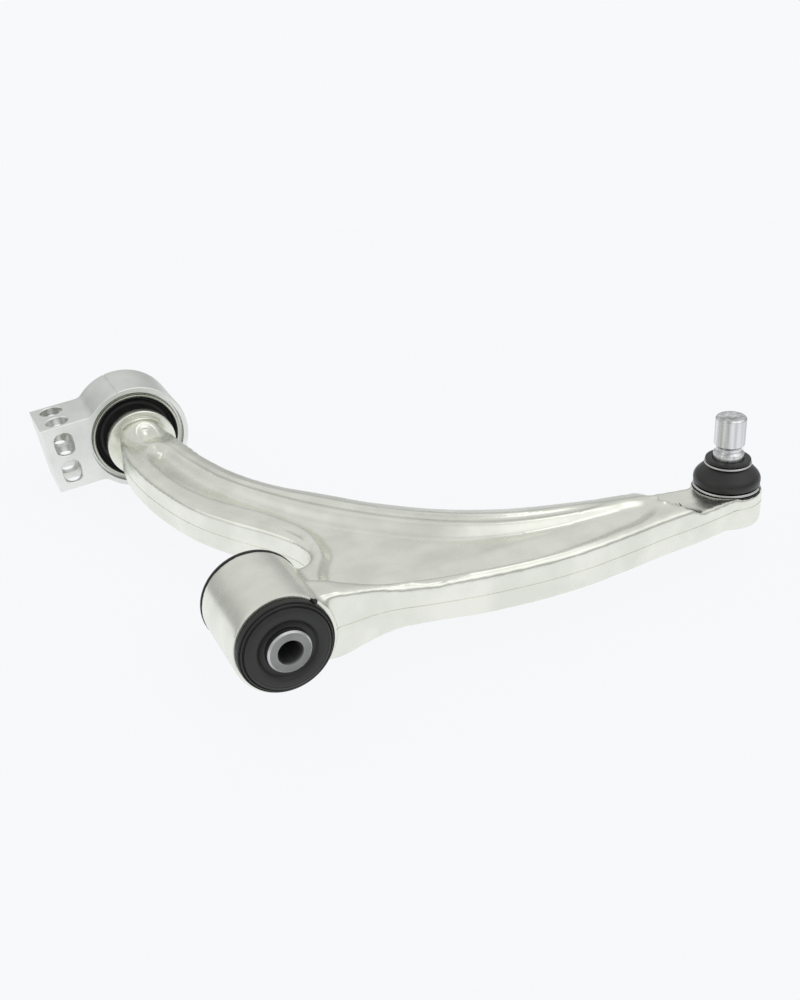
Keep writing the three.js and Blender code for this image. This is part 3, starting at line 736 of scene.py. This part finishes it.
def ball_joint():
    centre = JOINT_CENTRE
    ball_z = BALL_CENTRE.z
    ball = [(13.5 * math.cos(a), ball_z + 13.5 * math.sin(a))
            for a in [math.radians(-90 + 148.8 * i / 20) for i in range(21)]]
    stud = spun("ball_stud_body", ball + [
        (7, ball_z + 17, 2), (9.2, 22.5, 1), (9.2, 26.5), (10.5, 28, 0.8), (10.5, 33.6, 0.6),
        (8.6, 35.1, 0.8), (8.6, 38.1, 0.8), (10.5, 39.6, 0.6), (10.5, STUD_TOP - 1, 0.3),
        (9.6, STUD_TOP, 0.3), (2.4, STUD_TOP), (0, STUD_TOP - 1.3)], "Z", centre)
    # The stud's steel carries painted reflection streaks in its tone.
    hand_over(stud, STUD_STEEL_PAINTED_STREAKS, "stud", "machined_steel", "ball_stud")
    boot = spun("dust_boot_skin", [
        (19.7, 5.5), (23.2, 5.5, 0.6), (23.2, 7.4, 0.4), (20.8, 7.9, 0.3), (20.8, 10.2, 0.4),
        (22.4, 11.0, 0.6), (23.2, 14, 2), (22.3, 17.5, 2), (18.6, 21.5, 2.5), (15.9, 23.6, 0.6),
        (14.3, 24.8, 0.4), (14.3, 26.9, 0.4), (15.6, 27.6, 0.5), (15.5, 29.2, 0.8), (10.9, 29.2),
        (10.9, 27), (9.6, 25), (9.6, 22.5, 1), (20.4, 15.5, 3), (19.7, 11)], "Z", centre, steps=112)
    hand_over(boot, BOOT_RUBBER, None, "boot_rubber", "dust_boot")
    place(*centre[:2], 9)
    place(*centre[:2], 25)
    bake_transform(boot)
    cover = spun("housing_cover", [(0, -19.8), (8, -19.8, 1), (10, -19.2, 1), (14, -19.2, 1),
                                   (16.2, -18.2, 0.8), (18, -18.0, 0.4), (18, -16.2, 0.2),
                                   (14, -16.6), (0, -17.2)], "Z", centre)
    hand_over(cover, PLATED, "arm", "plated_steel", "ball_cover_plate")
    wire_ring("boot_lower_wire", 22.0, 9.0, 1.1, -0.9, "arm", "boot_lower_ring")
    wire_ring("boot_upper_wire", 15.3, 25.9, 0.9, 2.2, "boot_neck", "boot_upper_ring")


arm_forging()
front_bush()
rear_bracket()
rear_bush()
rear_fixing()
ball_joint()

# Sealed inside the rear bush and the ball joint.
CARRIED = {"rear_bush_upper_channel_shell": ACETAL, "rear_bush_lower_channel_shell": ACETAL,
           "rear_bush_cage": TURNED, "ball_seat": ACETAL}
for node, material in CARRIED.items():
    cad = frame["nodes"][node]
    cad.data.materials.clear()
    cad.data.materials.append(material)


# ---- floor, light and camera ---------------------------------------------------------------------

PAPER = "#F8F9FB"
FLOOR_SIZE = 1.7
FLOOR_HEIGHT = -0.0005
FLOOR_GLOW = 0.935
# Sine of the height above the horizon, brightness.
WALL_TONES = [(0.0, 0.42), (0.2, 0.50), (0.45, 0.74), (0.75, 0.76), (1.0, 0.66)]
# Direction, angles in degrees where the light is full and where it ends, strength.
SKY_LIGHTS = [((0.3, -0.5, 0.82), 10, 42, 0.5), ((0.36, 0.25, 0.9), 5, 12, 1.0),
              ((-0.9, 0.1, 0.35), 8, 30, 0.4)]


def floor():
    """White paper, lit so evenly that its far edge is lost in the background."""
    bpy.ops.mesh.primitive_plane_add(size=FLOOR_SIZE, location=(0, 0, FLOOR_HEIGHT))
    plane = bpy.context.object
    plane.name = "floor"
    material, tree = new_material("paper_floor")
    diffuse = add_node(tree, "BsdfDiffuse", {"Color": srgb("#4A4A4B")})
    glow = add_node(tree, "Emission", {"Color": srgb(PAPER), "Strength": FLOOR_GLOW})
    both = add_node(tree, "AddShader", {0: diffuse.outputs[0], 1: glow.outputs[0]})
    add_node(tree, "OutputMaterial", {"Surface": both.outputs[0]})
    plane.data.materials.append(material)


def world():
    """A pale room: walls that are darkest near the floor, a large soft light above and before the
    object, a small one overhead, one from the left, and the paper's tone where the camera looks
    past the floor."""
    scene_world = bpy.data.worlds.new("studio")
    bpy.context.scene.world = scene_world
    scene_world.use_nodes = True
    tree = scene_world.node_tree
    tree.nodes.clear()
    direction = add_node(tree, "TexCoord").outputs["Generated"]
    height = add_node(tree, "SeparateXYZ", {"Vector": direction}).outputs["Z"]
    walls = ramp(tree, height, WALL_TONES)
    shine = walls
    for towards, inner, outer, strength in SKY_LIGHTS:
        cosine = add_node(tree, "VectorMath", {0: direction, 1: Vector(towards).normalized()},
                          operation="DOT_PRODUCT").outputs["Value"]
        spot = add_node(tree, "MapRange", {"Value": cosine, "From Min": math.cos(math.radians(outer)),
                                           "From Max": math.cos(math.radians(inner)),
                                           "To Max": strength},
                        interpolation_type="SMOOTHSTEP").outputs["Result"]
        shine = add_node(tree, "VectorMath", {0: shine, 1: spot}, operation="ADD").outputs["Vector"]
    lit = add_node(tree, "Background", {"Color": shine, "Strength": 1.0})
    seen = add_node(tree, "Background", {"Color": srgb(PAPER), "Strength": 1.0})
    camera_ray = add_node(tree, "LightPath").outputs["Is Camera Ray"]
    either = add_node(tree, "MixShader", {0: camera_ray, 1: lit.outputs[0], 2: seen.outputs[0]})
    add_node(tree, "OutputWorld", {"Surface": either.outputs[0]})


AZIMUTH, ELEVATION, ROLL = (math.radians(a) for a in (-23.883, 26.557, -3.127))
CAMERA_PLACE = (-173.64, -559.51, 385.45)


def camera():
    back = Vector((math.sin(AZIMUTH) * math.cos(ELEVATION),
                   -math.cos(AZIMUTH) * math.cos(ELEVATION), math.sin(ELEVATION)))
    right = Vector((0, 0, 1)).cross(back).normalized()
    up = back.cross(right)
    turn = Matrix.Rotation(ROLL, 3, back)
    basis = Matrix((turn @ right, turn @ up, back)).transposed()
    bpy.ops.object.camera_add(location=place(*CAMERA_PLACE))
    cam = bpy.context.object
    cam.rotation_euler = basis.to_euler()
    cam.data.lens = 43.2
    cam.data.sensor_width = 36
    cam.data.clip_start = 0.01
    bpy.context.scene.camera = cam


floor()
world()
camera()
bpy.context.scene.view_settings.view_transform = "Standard"
